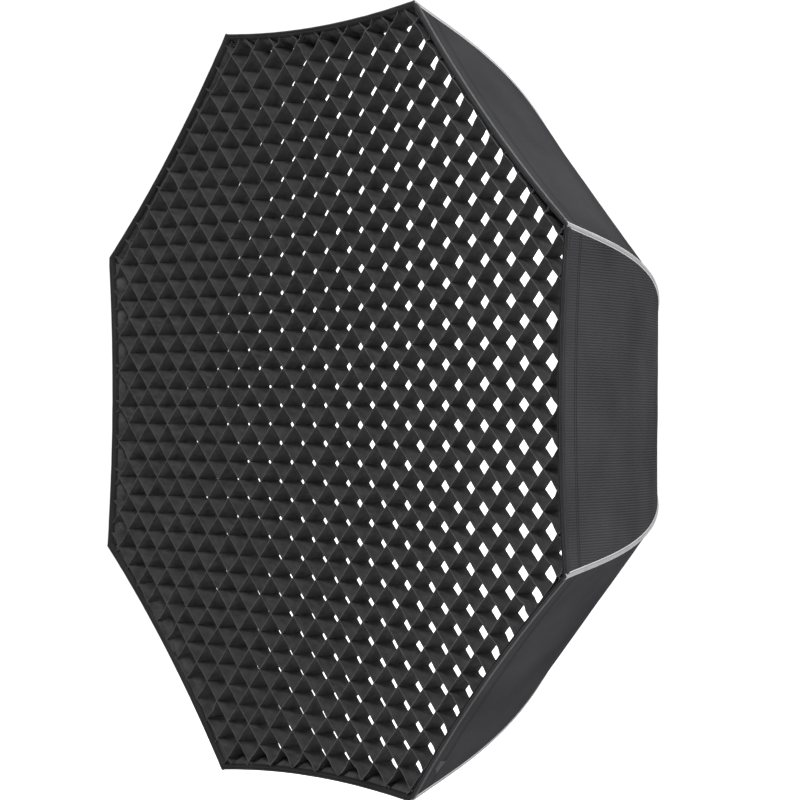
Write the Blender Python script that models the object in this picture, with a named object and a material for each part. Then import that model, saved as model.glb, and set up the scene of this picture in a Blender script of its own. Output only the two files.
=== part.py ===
"""Octabox: a folding eight-rod softbox on a rectangular lamp adapter.

The optical axis is Y. The open front faces -Y, +Z is up, and the origin is the centre of the
adapter's rear face, which seats on the lamp. All sizes are in metres.
"""

import math

import bmesh
import bpy
from mathutils import Vector

# Overall shape
OCTA_WIDTH = 1.524          # front edge, across opposite corners
SIDES = 8
HINGE_DEPTH = 0.578         # front edge to the hinge axes, along Y
HINGE_RADIUS = 0.243        # optical axis to each hinge axis
FRONT_SLOPE = math.radians(25.0)   # a rod's lean away from the axis at its tip
REAR_SLOPE = math.radians(64.0)    # and where it leaves its socket
FRONT_PULL = 0.20           # how far the curve keeps each end's direction, over its chord
REAR_PULL = 0.50

# Rods, sockets and hinges
ROD_RADIUS = 0.0035
SEAM_CLEARANCE = 0.0008     # a socket's outer corners to the fabric
ROD_POINTS = 11
TUBE_RESOLUTION = 2
SOCKET_LENGTH = 0.070       # hinge axis to the socket's mouth
SOCKET_WIDTH = 0.012
SOCKET_HEIGHT = 0.011
SOCKET_GRIP = 0.050         # how deep the rod sits in its socket
KNUCKLE_PROUD = 0.0010      # how far the knuckle stands past the socket's faces
PIN_RADIUS = 0.0025
PIN_CLEARANCE = 0.0002
PIN_OVERHANG = 0.0020       # past the outer face of each ear
FIT = 0.0005                # between neighbouring pieces
TIP_SETBACK = 0.0160        # front edge to the tip cap's nose, along Y
TIP_RADIUS = 0.0060
TIP_LENGTH = 0.0300
TIP_NOSE = 0.0030

# Adapter frame
PLATE_RADIUS = 0.270        # to the plate's corners
PLATE_THICKNESS = 0.004
HINGE_TO_PLATE = 0.012      # hinge axis to the plate's front face
EAR_THICKNESS = 0.004
EAR_RADIUS = 0.0075
WINDOW_WIDTH = 0.340
WINDOW_HEIGHT = 0.300
COLLAR_WALL = 0.004
CHANNEL_DEPTH = 0.018       # plate to flange, which the lamp's rails fill
FLANGE_WIDTH = 0.014        # how far the flange stands out of the collar
FLANGE_THICKNESS = 0.004
HOLE_STEPS = 12

# Lamp lock
LOCK_WIDTH = 0.024
LOCK_HEIGHT = 0.034
LOCK_GAP = 0.005            # flange edge to the housing
LOCK_PIN_RADIUS = 0.0030
LOCK_PIN_REACH = 0.014      # how far the pin stands out below the housing
LOCK_TRAVEL = 0.009
KNOB_RADIUS = 0.0085
KNOB_HEIGHT = 0.015

# Fabric
FABRIC = 0.0020
EDGE_BOW = 0.016            # how far each front side bows towards the axis
GORE_ALONG = 9
GORE_ACROSS = 4
RIM_DEPTH = 0.012
RIM_WIDTH = 0.014
RIM_STEPS = 6               # straight pieces along each bowed side
TAPE_WIDTH = 0.013
TAPE_THICKNESS = 0.0010
BAND_THICKNESS = 0.003      # the fabric band round the plate

# Grid, diffuser and baffle
GRID_PITCH = 0.100          # every second strip of the real lattice
GRID_STRIP = 0.0016
GRID_DEPTH = 0.040
GRID_SETBACK = 0.003        # front edge to the grid's front
EDGE_CLEARANCE = 0.004      # gore to the grid's border and to the diffuser's edge
GRID_TO_DIFFUSER = 0.007
BAFFLE_DEPTH = 0.300        # front edge to the inner baffle, along Y
BAFFLE_MARGIN = 0.060       # gore to the baffle's edge
SHEET = 0.0012

# Worked out from the sizes above
STEP = math.tau / SIDES
HALF = STEP / 2
FRONT_RADIUS = OCTA_WIDTH / 2
KNUCKLE_RADIUS = SOCKET_HEIGHT / 2 + KNUCKLE_PROUD
ROD_TO_SEAM = (SOCKET_HEIGHT / 2 + SOCKET_WIDTH / 2 * math.tan(HALF) + FABRIC / math.cos(HALF)
               + SEAM_CLEARANCE)    # rod centre line to the outer face of the fabric seam
DIFFUSER_DEPTH = GRID_SETBACK + GRID_DEPTH + GRID_TO_DIFFUSER
PLATE_FRONT = -(FLANGE_THICKNESS + CHANNEL_DEPTH + PLATE_THICKNESS)
PLATE_BACK = PLATE_FRONT + PLATE_THICKNESS
HINGE_Y = PLATE_FRONT - HINGE_TO_PLATE
FRONT_Y = HINGE_Y - HINGE_DEPTH
HINGE = Vector((HINGE_RADIUS, HINGE_Y))
SOCKET_WAY = Vector((math.sin(REAR_SLOPE), -math.cos(REAR_SLOPE)))
MOUTH = HINGE + SOCKET_LENGTH * SOCKET_WAY


def clear_scene():
    for obj in list(bpy.data.objects):
        bpy.data.objects.remove(obj, do_unlink=True)


def material(name, colour, roughness, metallic=0.0):
    made = bpy.data.materials.new(name)
    made.use_nodes = True
    shader = made.node_tree.nodes["Principled BSDF"]
    shader.inputs["Base Color"].default_value = (*colour, 1.0)
    shader.inputs["Roughness"].default_value = roughness
    shader.inputs["Metallic"].default_value = metallic
    made.diffuse_color = (*colour, 1.0)
    return made


def place(name, data, finish, parent=None, turn=0.0):
    """One named piece; turn is its angle round the optical axis, from +X towards +Z."""
    obj = bpy.data.objects.new(name, data)
    bpy.context.scene.collection.objects.link(obj)
    if not data.materials:
        data.materials.append(finish)
    obj.rotation_euler = (0.0, -turn, 0.0)
    obj.parent = parent
    return obj


# ---------------------------------------------------------------- curves of rods and seams


def rod_curve(share):
    """A point (radius, y) of a rod's centre line and its unit direction, from tip to mouth."""
    outward = Vector((math.cos(FRONT_SLOPE), math.sin(FRONT_SLOPE)))
    start = Vector((FRONT_RADIUS, FRONT_Y)) - ROD_TO_SEAM * outward
    chord = (MOUTH - start).length
    way = Vector((-math.sin(FRONT_SLOPE), math.cos(FRONT_SLOPE)))
    knots = (start, start + FRONT_PULL * chord * way, MOUTH + REAR_PULL * chord * SOCKET_WAY, MOUTH)
    rest = 1.0 - share
    point = (rest**3 * knots[0] + 3 * rest**2 * share * knots[1]
             + 3 * rest * share**2 * knots[2] + share**3 * knots[3])
    heading = (rest**2 * (knots[1] - knots[0]) + 2 * rest * share * (knots[2] - knots[1])
               + share**2 * (knots[3] - knots[2])).normalized()
    return point, heading


def beside(share, offset):
    """A point offset outwards from the rod's centre line."""
    point, heading = rod_curve(share)
    return point + offset * Vector((heading.y, -heading.x))


def share_at(y, offset):
    """The curve's share at which the line beside the rod reaches y."""
    low, high = 0.0, 1.0
    for _ in range(40):
        middle = (low + high) / 2
        if beside(middle, offset).y < y:
            low = middle
        else:
            high = middle
    return (low + high) / 2


def bow_at(share):
    return EDGE_BOW * (1.0 - share) ** 2


def side_points(radius, bow, gap, cut, steps):
    """One side of an octagon as (out, along) points, gap inside the side and cut at its ends."""
    out = radius * math.cos(HALF) - gap
    half_side = out * math.tan(HALF)
    reach = half_side - cut / math.sin(HALF)
    count = steps + 1 if cut else steps
    points = []
    for i in range(count):
        along = reach * (2.0 * i / steps - 1.0)
        points.append((out - bow * (1.0 - (along / half_side) ** 2), along))
    return points


def outline(y, gap, cut=0.0, steps=RIM_STEPS):
    """The closed octagonal outline at y, as points in space, gap inside the fabric's outer face."""
    share = share_at(y, ROD_TO_SEAM)
    points = []
    for side in range(SIDES):
        turn = side * STEP
        for out, along in side_points(beside(share, ROD_TO_SEAM).x, bow_at(share), gap, cut, steps):
            points.append(Vector((out * math.cos(turn) - along * math.sin(turn), y,
                                  out * math.sin(turn) + along * math.cos(turn))))
    return points


def octagon(radius, y):
    """A plain octagon whose corners lie in the rods' planes."""
    return [Vector((radius * math.cos(HALF + i * STEP), y, radius * math.sin(HALF + i * STEP)))
            for i in range(SIDES)]


# ---------------------------------------------------------------- mesh tools


def finish_mesh(name, bm):
    bmesh.ops.recalc_face_normals(bm, faces=bm.faces[:])
    data = bpy.data.meshes.new(name)
    bm.to_mesh(data)
    bm.free()
    return data


def ring(name, loops):
    """A closed ring through equal loops of points, the last joined to the first."""
    bm = bmesh.new()
    rows = [[bm.verts.new(point) for point in loop] for loop in loops]
    for row, after in zip(rows, rows[1:] + rows[:1]):
        for i in range(len(row)):
            j = (i + 1) % len(row)
            bm.faces.new((row[i], row[j], after[j], after[i]))
    return finish_mesh(name, bm)


def prism(name, points, way):
    """A flat outline pushed along a direction."""
    bm = bmesh.new()
    face = bm.faces.new([bm.verts.new(point) for point in points])
    pushed = bmesh.ops.extrude_face_region(bm, geom=[face])
    moved = [item for item in pushed["geom"] if isinstance(item, bmesh.types.BMVert)]
    bmesh.ops.translate(bm, vec=way, verts=moved)
    return finish_mesh(name, bm)


def box(low, high):
    points = [(low[0], low[1], low[2]), (high[0], low[1], low[2]),
              (high[0], low[1], high[2]), (low[0], low[1], high[2])]
    return prism("box", [Vector(point) for point in points], Vector((0.0, high[1] - low[1], 0.0)))


def disc(centre, radius, across, up, steps):
    """Points round a circle in the plane of two unit directions."""
    turns = [math.tau * (i + 0.5) / steps for i in range(steps)]
    return [centre + radius * (math.cos(a) * across + math.sin(a) * up) for a in turns]


def smoothed(data):
    """Shades round faces smooth and keeps the real edges sharp."""
    data.shade_smooth()
    data.set_sharp_from_angle(angle=math.radians(40))
    return data


def bar(start, end, radius, steps=HOLE_STEPS):
    """A round bar between two points."""
    way = end - start
    across = way.orthogonal().normalized()
    up = way.normalized().cross(across)
    return smoothed(prism("bar", disc(start, radius, across, up, steps), way))


def combine(name, base, steps):
    """Applies exact Booleans, each an (operation, mesh), and gives the finished mesh."""
    obj = bpy.data.objects.new(name, base)
    bpy.context.scene.collection.objects.link(obj)
    helpers = []
    for operation, data in steps:
        helper = bpy.data.objects.new("cutter", data)
        helper.hide_render = True
        helper.display_type = "WIRE"
        bpy.context.scene.collection.objects.link(helper)
        helpers.append(helper)
        change = obj.modifiers.new(operation, "BOOLEAN")
        change.operation = operation
        change.solver = "EXACT"
        change.object = helper
    graph = bpy.context.evaluated_depsgraph_get()
    result = bpy.data.meshes.new_from_object(obj.evaluated_get(graph))
    for item in [obj] + helpers:
        bpy.data.objects.remove(item, do_unlink=True)
    result.name = name
    result.materials.clear()
    return result


# ---------------------------------------------------------------- adapter


def ear_mesh(offset):
    """One hinge ear in a rod's own frame: X outwards, Z sideways, from the plate to the axis."""
    root = PLATE_FRONT + PLATE_THICKNESS / 2
    turns = [math.pi + math.pi * i / 6 for i in range(7)]
    round_end = [Vector((HINGE_RADIUS + EAR_RADIUS * math.cos(a),
                         HINGE_Y + EAR_RADIUS * math.sin(a), offset)) for a in turns]
    foot = [Vector((HINGE_RADIUS + EAR_RADIUS, root, offset)),
            Vector((HINGE_RADIUS - EAR_RADIUS, root, offset))]
    return prism("ear", round_end + foot, Vector((0.0, 0.0, EAR_THICKNESS)))


def turned(data, angle):
    """A copy of a mesh turned about the optical axis, from +X towards +Z."""
    copy = data.copy()
    for vertex in copy.vertices:
        x, y, z = vertex.co
        vertex.co = (x * math.cos(angle) - z * math.sin(angle), y,
                     x * math.sin(angle) + z * math.cos(angle))
    return copy


def window_block(half_width, half_height, low_y, high_y):
    """A block as wide and high as the lamp's window, or as a wall round it."""
    return box((-half_width, low_y, -half_height), (half_width, high_y, half_height))


def adapter_mesh():
    plate = prism("plate", octagon(PLATE_RADIUS, PLATE_FRONT), Vector((0.0, PLATE_THICKNESS, 0.0)))
    half_w, half_h = WINDOW_WIDTH / 2, WINDOW_HEIGHT / 2
    middle = PLATE_FRONT + PLATE_THICKNESS / 2
    wall, lip = COLLAR_WALL, COLLAR_WALL + FLANGE_WIDTH
    steps = [("UNION", window_block(half_w + wall, half_h + wall, middle, -FLANGE_THICKNESS / 2)),
             ("UNION", window_block(half_w + lip, half_h + lip, -FLANGE_THICKNESS, 0.0))]
    inner = SOCKET_WIDTH / 2 + FIT
    hole = PIN_RADIUS + PIN_CLEARANCE
    reach = inner + EAR_THICKNESS + FIT
    for i in range(SIDES):
        angle = HALF + i * STEP
        steps.append(("UNION", turned(ear_mesh(inner), angle)))
        steps.append(("UNION", turned(ear_mesh(-inner - EAR_THICKNESS), angle)))
    for i in range(SIDES):
        axis_hole = bar(Vector((HINGE_RADIUS, HINGE_Y, -reach)),
                        Vector((HINGE_RADIUS, HINGE_Y, reach)), hole)
        steps.append(("DIFFERENCE", turned(axis_hole, HALF + i * STEP)))
    steps.append(("DIFFERENCE", window_block(half_w, half_h, PLATE_FRONT - 0.01, 0.01)))
    return smoothed(combine("adapter_frame", plate, steps))


def build_lock(metal, dark):
    """A spring plunger behind the plate, whose pin drops into the channel and holds the lamp."""
    axis_y = PLATE_BACK + (CHANNEL_DEPTH + FLANGE_THICKNESS) / 2
    floor = WINDOW_HEIGHT / 2 + COLLAR_WALL + FLANGE_WIDTH + LOCK_GAP
    top = floor + LOCK_HEIGHT
    low = Vector((0.0, axis_y, floor - LOCK_PIN_REACH))
    cap_floor = top + FIT
    shank_top = cap_floor + KNOB_HEIGHT * 0.6
    housing = box((-LOCK_WIDTH / 2, PLATE_BACK + FIT, floor), (LOCK_WIDTH / 2, -FIT, top))
    bore = bar(Vector((0.0, axis_y, floor - FIT)), Vector((0.0, axis_y, top + FIT)),
               LOCK_PIN_RADIUS + FIT)
    body = combine("lock_housing", housing, [("DIFFERENCE", bore)])
    place("lock_housing", smoothed(body), dark)
    pin = bar(low, Vector((0.0, axis_y, shank_top)), LOCK_PIN_RADIUS)
    place("lock_pin", pin, metal)
    knob = bar(Vector((0.0, axis_y, cap_floor)), Vector((0.0, axis_y, cap_floor + KNOB_HEIGHT)),
               KNOB_RADIUS, 16)
    socket = bar(Vector((0.0, axis_y, cap_floor - FIT)), Vector((0.0, axis_y, shank_top + FIT)),
                 LOCK_PIN_RADIUS + FIT)
    place("lock_knob", smoothed(combine("lock_knob", knob, [("DIFFERENCE", socket)])), dark)


# ---------------------------------------------------------------- pieces on each rod


def local(point):
    """A (radius, y) point in the frame of a rod's hinge."""
    return Vector((point.x - HINGE_RADIUS, point.y - HINGE_Y, 0.0))


def socket_mesh():
    across = SOCKET_WAY.to_3d()
    side = Vector((0.0, 0.0, 1.0))
    up = side.cross(across)
    half_w, half_h = SOCKET_WIDTH / 2, SOCKET_HEIGHT / 2
    corners = [-half_w * side - half_h * up, half_w * side - half_h * up,
               half_w * side + half_h * up, -half_w * side + half_h * up]
    block = prism("block", corners, SOCKET_LENGTH * across)
    knuckle = bar(-half_w * side, half_w * side, KNUCKLE_RADIUS)
    pin_hole = bar(-(half_w + FIT) * side, (half_w + FIT) * side, PIN_RADIUS + PIN_CLEARANCE)
    floor = (SOCKET_LENGTH - SOCKET_GRIP) * across
    rod_hole = bar(floor, (SOCKET_LENGTH + FIT) * across, ROD_RADIUS + FIT)
    return smoothed(combine("rod_socket", block, [("UNION", knuckle), ("DIFFERENCE", pin_hole),
                                                  ("DIFFERENCE", rod_hole)]))


def tube(name, points, radius):
    data = bpy.data.curves.new(name, "CURVE")
    data.dimensions = "3D"
    data.bevel_depth = radius
    data.bevel_resolution = TUBE_RESOLUTION
    data.use_fill_caps = True
    spline = data.splines.new("POLY")
    spline.points.add(len(points) - 1)
    for item, point in zip(spline.points, points):
        item.co = (*point, 1.0)
    return data


def tip_frame():
    """Where the tip cap's nose is on the rod's centre line, and the way the rod runs from there."""
    point, heading = rod_curve(share_at(FRONT_Y + TIP_SETBACK, 0.0))
    return local(point), heading.to_3d()


def rod_data():
    nose, way = tip_frame()
    straight = [nose + TIP_NOSE * way, nose + (TIP_LENGTH + FIT) * way]
    start = share_at(FRONT_Y + TIP_SETBACK + 2 * TIP_LENGTH, 0.0)
    shares = [start + (1.0 - start) * i / (ROD_POINTS - 1) for i in range(ROD_POINTS)]
    points = straight + [local(rod_curve(share)[0]) for share in shares]
    end = HINGE + (SOCKET_LENGTH - SOCKET_GRIP + FIT) * SOCKET_WAY
    return tube("rod", points + [local(end)], ROD_RADIUS)


def tip_mesh():
    nose, way = tip_frame()
    body = bar(nose, nose + TIP_LENGTH * way, TIP_RADIUS)
    hole = bar(nose + (TIP_NOSE - FIT) * way, nose + (TIP_LENGTH + FIT) * way, ROD_RADIUS + FIT)
    return smoothed(combine("rod_tip", body, [("DIFFERENCE", hole)]))


def tape_mesh():
    """The edge tape: a flat band over the seam, from the front edge to the socket's mouth."""
    start = share_at(FRONT_Y + TAPE_THICKNESS, ROD_TO_SEAM)
    loops = []
    for i in range(ROD_POINTS):
        share = start + (1.0 - start) * i / (ROD_POINTS - 1)
        under = local(beside(share, ROD_TO_SEAM + FIT))
        over = local(beside(share, ROD_TO_SEAM + FIT + TAPE_THICKNESS))
        side = Vector((0.0, 0.0, TAPE_WIDTH / 2))
        loops.append((under - side, under + side, over + side, over - side))
    bm = bmesh.new()
    rows = [[bm.verts.new(point) for point in loop] for loop in loops]
    for row, after in zip(rows, rows[1:]):
        for i in range(4):
            j = (i + 1) % 4
            bm.faces.new((row[i], row[j], after[j], after[i]))
    bm.faces.new(rows[0])
    bm.faces.new(rows[-1])
    return finish_mesh("edge_tape", bm)


def build_rods(steel, plastic, tape, dark):
    half_pin = SOCKET_WIDTH / 2 + FIT + EAR_THICKNESS + PIN_OVERHANG
    side = Vector((0.0, 0.0, half_pin))
    parts = (("rod_socket", socket_mesh(), dark), ("rod", rod_data(), steel),
             ("rod_tip", tip_mesh(), plastic), ("edge_tape", tape_mesh(), tape))
    pin = bar(-side, side, PIN_RADIUS)
    for i in range(SIDES):
        angle = HALF + i * STEP
        hinge = bpy.data.objects.new(f"rod_hinge_{i + 1}", None)
        bpy.context.scene.collection.objects.link(hinge)
        hinge.location = (HINGE_RADIUS * math.cos(angle), HINGE_Y, HINGE_RADIUS * math.sin(angle))
        hinge.rotation_euler = (0.0, -angle, 0.0)
        for name, data, finish in parts:
            place(f"{name}_{i + 1}", data, finish, hinge)
        place(f"hinge_pin_{i + 1}", pin, steel, hinge)


# ---------------------------------------------------------------- fabric


def gore_mesh():
    """One fabric panel as a sheet with its outer face outwards, centred on the +X direction."""
    lean = FABRIC * math.tan(FRONT_SLOPE)     # the sheet's inner edge reaches this much further
    start = share_at(FRONT_Y + RIM_DEPTH + lean + FIT, ROD_TO_SEAM)
    seam_gap = FABRIC * math.tan(HALF) + FIT
    bm = bmesh.new()
    rows = []
    for i in range(GORE_ALONG + 1):
        share = start + (1.0 - start) * i / GORE_ALONG
        seam = beside(share, ROD_TO_SEAM)
        out = seam.x * math.cos(HALF)
        half_side = out * math.tan(HALF)
        reach = half_side - seam_gap
        row = []
        for j in range(GORE_ACROSS + 1):
            along = reach * (2.0 * j / GORE_ACROSS - 1.0)
            bow = bow_at(share) * (1.0 - (along / half_side) ** 2)
            row.append(bm.verts.new((out - bow, seam.y, along)))
        rows.append(row)
    for row, after in zip(rows, rows[1:]):
        for j in range(GORE_ACROSS):
            bm.faces.new((row[j], after[j], after[j + 1], row[j + 1]))
    data = bpy.data.meshes.new("gore")
    bm.to_mesh(data)
    bm.free()
    data.shade_smooth()
    return data


def build_gores(cloth):
    sheet = gore_mesh()
    for i in range(SIDES):
        gore = place(f"gore_{i + 1}", sheet, cloth, turn=i * STEP)
        wall = gore.modifiers.new("thickness", "SOLIDIFY")
        wall.thickness = FABRIC
        wall.offset = -1.0


def rim_mesh():
    back = FRONT_Y + RIM_DEPTH
    return ring("front_rim", [outline(FRONT_Y, 0.0), outline(back, 0.0),
                              outline(back, RIM_WIDTH), outline(FRONT_Y, RIM_WIDTH)])


def band_mesh():
    """The fabric band that closes the gap between the gores' rear edges and the plate."""
    edge = beside(1.0, ROD_TO_SEAM) - FIT * SOCKET_WAY
    inward = BAND_THICKNESS * Vector((-math.cos(REAR_SLOPE), -math.sin(REAR_SLOPE)))
    snug = PLATE_RADIUS + FIT
    shoulder = PLATE_FRONT - FIT
    outside = snug + BAND_THICKNESS
    profile = (edge, Vector((outside, shoulder)), Vector((outside, PLATE_BACK)),
               Vector((snug, PLATE_BACK)), Vector((snug, shoulder)), edge + inward)
    return ring("rear_band", [octagon(point.x, point.y) for point in profile])


def clear_of_rods(y):
    """How far a corner at y has to be cut back, from the fabric's outer face, to pass a rod."""
    seam = beside(share_at(y, ROD_TO_SEAM), ROD_TO_SEAM).x
    rod = rod_curve(share_at(y, 0.0))[0].x
    return seam - rod + (ROD_RADIUS + EDGE_CLEARANCE) / math.cos(FRONT_SLOPE)


def grid_mesh():
    """A deep lattice at 45 degrees inside a border strip."""
    front = FRONT_Y + GRID_SETBACK
    back = front + GRID_DEPTH
    radius_back = beside(share_at(back, ROD_TO_SEAM), ROD_TO_SEAM).x
    radius_front = beside(share_at(front, ROD_TO_SEAM), ROD_TO_SEAM).x
    slack = (radius_front - radius_back) * math.cos(HALF)
    gap = slack + FABRIC + EDGE_CLEARANCE
    cut = clear_of_rods(back) - (FABRIC + EDGE_CLEARANCE) / math.cos(HALF)
    way = Vector((0.0, GRID_DEPTH, 0.0))
    outer = prism("grid", outline(front, gap, cut), way)
    inner = outline(front, gap + GRID_STRIP, cut)
    cells = bmesh.new()
    half = (GRID_PITCH - GRID_STRIP) / 2
    count = int(FRONT_RADIUS * 1.1 / GRID_PITCH) + 1
    middle = front + GRID_DEPTH / 2
    reach = GRID_DEPTH * 1.5
    diagonal = math.sqrt(0.5)
    for i in range(-count, count + 1):
        for j in range(-count, count + 1):
            x = (i + j) * GRID_PITCH * diagonal
            z = (i - j) * GRID_PITCH * diagonal
            if math.hypot(x, z) > FRONT_RADIUS + GRID_PITCH:
                continue
            corners = [Vector((x + half * math.sqrt(2) * math.cos(k * math.pi / 2),
                               middle - reach / 2,
                               z + half * math.sqrt(2) * math.sin(k * math.pi / 2)))
                       for k in range(4)]
            face = cells.faces.new([cells.verts.new(corner) for corner in corners])
            pushed = bmesh.ops.extrude_face_region(cells, geom=[face])
            moved = [item for item in pushed["geom"] if isinstance(item, bmesh.types.BMVert)]
            bmesh.ops.translate(cells, vec=Vector((0.0, reach, 0.0)), verts=moved)
    holes = finish_mesh("cells", cells)
    slab = [Vector((point.x, front - GRID_DEPTH / 8, point.z)) for point in inner]
    keep = prism("keep", slab, way * 1.25)
    return combine("grid", outer, [("DIFFERENCE", combine("holes", holes, [("INTERSECT", keep)]))])


def sheet_mesh(name, depth, gap, cut=0.0):
    y = FRONT_Y + depth
    return prism(name, outline(y, gap, cut), Vector((0.0, SHEET, 0.0)))


def build_fabric(cloth, white, black):
    build_gores(cloth)
    place("front_rim", rim_mesh(), cloth)
    place("rear_band", band_mesh(), cloth)
    place("grid", grid_mesh(), black)
    behind = FRONT_Y + DIFFUSER_DEPTH + SHEET
    gap = FABRIC / math.cos(FRONT_SLOPE) + EDGE_CLEARANCE
    cut = clear_of_rods(behind) - gap / math.cos(HALF)
    place("front_diffuser", sheet_mesh("front_diffuser", DIFFUSER_DEPTH, gap, cut), white)
    place("inner_baffle", sheet_mesh("inner_baffle", BAFFLE_DEPTH, BAFFLE_MARGIN), white)


def main():
    clear_scene()
    cloth = material("black_nylon", (0.030, 0.030, 0.032), 0.75)
    lattice = material("grid_nylon", (0.015, 0.015, 0.016), 0.80)
    white = material("diffuser_cloth", (0.85, 0.85, 0.84), 0.80)
    tape = material("reflective_tape", (0.45, 0.46, 0.47), 0.45)
    steel = material("spring_steel", (0.45, 0.45, 0.46), 0.30, 1.0)
    coated = material("black_coated_aluminium", (0.035, 0.035, 0.038), 0.40, 0.6)
    plastic = material("black_nylon_plastic", (0.025, 0.025, 0.025), 0.50)
    place("adapter_frame", adapter_mesh(), coated)
    build_lock(steel, plastic)
    build_rods(steel, plastic, tape, coated)
    build_fabric(cloth, white, lattice)


main()
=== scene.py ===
"""Octabox: an eight-sided folding softbox with a cloth grid.

It is built as cloth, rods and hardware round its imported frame.
The optical axis is Y, the open front faces -Y, +Z is up, and sizes are in metres.
"""

import math

import bmesh
import bpy
from mathutils import Matrix, Vector, noise


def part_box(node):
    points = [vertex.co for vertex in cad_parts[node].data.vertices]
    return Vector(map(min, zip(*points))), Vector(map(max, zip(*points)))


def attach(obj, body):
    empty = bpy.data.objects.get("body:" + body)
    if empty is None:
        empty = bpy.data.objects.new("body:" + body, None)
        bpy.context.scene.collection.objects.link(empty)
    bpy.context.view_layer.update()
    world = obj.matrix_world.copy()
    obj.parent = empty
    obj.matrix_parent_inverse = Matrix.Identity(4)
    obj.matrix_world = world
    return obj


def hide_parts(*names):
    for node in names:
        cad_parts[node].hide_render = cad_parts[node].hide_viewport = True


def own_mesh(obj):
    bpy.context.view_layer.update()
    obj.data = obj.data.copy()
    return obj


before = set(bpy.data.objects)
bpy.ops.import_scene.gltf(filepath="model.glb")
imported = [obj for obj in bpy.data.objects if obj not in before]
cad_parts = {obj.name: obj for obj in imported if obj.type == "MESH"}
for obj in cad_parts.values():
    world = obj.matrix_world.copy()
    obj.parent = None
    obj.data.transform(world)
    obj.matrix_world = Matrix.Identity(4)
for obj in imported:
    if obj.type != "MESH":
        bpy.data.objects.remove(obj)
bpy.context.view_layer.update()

bl_info = {
    "name": "Octabox",
    "version": (1, 0, 0),
    "blender": (4, 5, 0),
    "location": "View3D > Sidebar > Octabox",
    "description": "Makes an eight-sided softbox: cloth sides, grid, diffusers, rods and adapter",
    "category": "Add Mesh",
}

SIDES = 8
STEP = math.tau / SIDES
HALF = STEP / 2
SIN_HALF, COS_HALF, TAN_HALF = math.sin(HALF), math.cos(HALF), math.tan(HALF)
CORE_REAR, CORE_TIP = 0.100, 0.066      # half width of the cloth that stays with a rod
HEM = 0.050                 # front edge to the hem's stitch line
SPLIT = 0.480               # how far from the axis the front cloths part, rods from middle
BAFFLE_SPLIT = 0.205        # the same for the baffle
GRID_OFFSET = Vector((0.042, -0.008))   # one crossing's X and Z, as the grid isn't centred
FRONT_SIDE = 0.583          # length of one side along the front edge
INSIDE = Vector((0.0, -0.3, 0.0))       # a point well inside the box
FRONT_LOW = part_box("front_rim")[0]


def linear(code):
    """An sRGB hex colour as linear red, green and blue."""
    parts = [int(code[i:i + 2], 16) / 255 for i in (1, 3, 5)]
    return [c / 12.92 if c <= 0.04045 else ((c + 0.055) / 1.055) ** 2.4 for c in parts]


def length(name, about, default):
    return bpy.props.FloatProperty(name=name, description=about, default=default, unit="LENGTH",
                                   precision=4)


def colour(name, about, code):
    return bpy.props.FloatVectorProperty(name=name, description=about, default=linear(code),
                                         subtype="COLOR", min=0.0, max=1.0)


class OctaboxSizes(bpy.types.PropertyGroup):
    front_radius: length("Front radius", "Optical axis to a front corner", 0.762)
    front_y: length("Front", "Place of the front edge along the axis", FRONT_LOW.y)
    hinge_radius: length("Hinge radius", "Optical axis to each rod's hinge", 0.243)
    hinge_y: length("Hinge place", "Place of the hinges along the axis", -0.038)
    socket_length: length("Socket length", "Hinge to the socket's mouth", 0.070)
    seam_offset: length("Seam offset", "Rod centre line to the cloth's seam", 0.01095)
    edge_bow: length("Edge bow", "How far each front side bows towards the axis", 0.016)
    cloth: length("Side cloth", "Thickness of the coated side cloth", 0.0009)
    rim_depth: length("Binding depth", "How far the front binding reaches back", 0.012)
    tape_width: length("Tape width", "Width of the grey tape over each seam", 0.0130)
    pitch: length("Grid pitch", "Distance between parallel strips of the grid", 0.050)
    strip_depth: length("Strip depth", "How deep the grid's strips are", 0.0422)
    grid_y: length("Grid setback", "Front edge to the grid's front", 0.003)
    diffuser_y: length("Diffuser setback", "Front edge to the front diffuser", 0.050)
    baffle_y: length("Baffle setback", "Front edge to the inner baffle", 0.300)
    baffle_gap: length("Baffle gap", "Baffle's edge to the side cloth", 0.060)
    rod_radius: length("Rod radius", "Radius of the spring steel rods", 0.0035)


class OctaboxColours(bpy.types.PropertyGroup):
    nylon: colour("Side cloth", "Coated black nylon", "#101011")
    nylon_light: colour("Side cloth, raised threads", "Where the thread catches light", "#353537")
    grid: colour("Grid cloth", "Dull black nylon strips", "#363637")
    binding: colour("Binding", "Black binding tape at the front edge", "#1a1a1b")
    tape: colour("Edge tape", "Grey reflective tape", "#6c6c6c")
    diffuser: colour("Diffuser", "White nylon", "#f4f4f2")
    silver: colour("Lining", "Silver coating inside the box", "#c4c6c8")
    metal: colour("Adapter", "Black coated aluminium", "#2a2b2d")
    moulding: colour("Mouldings", "Black moulded nylon", "#1e1e1f")
    steel: colour("Steel", "Bright steel", "#b4b6b8")


# ---------------------------------------------------------------- the box's own curves


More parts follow.
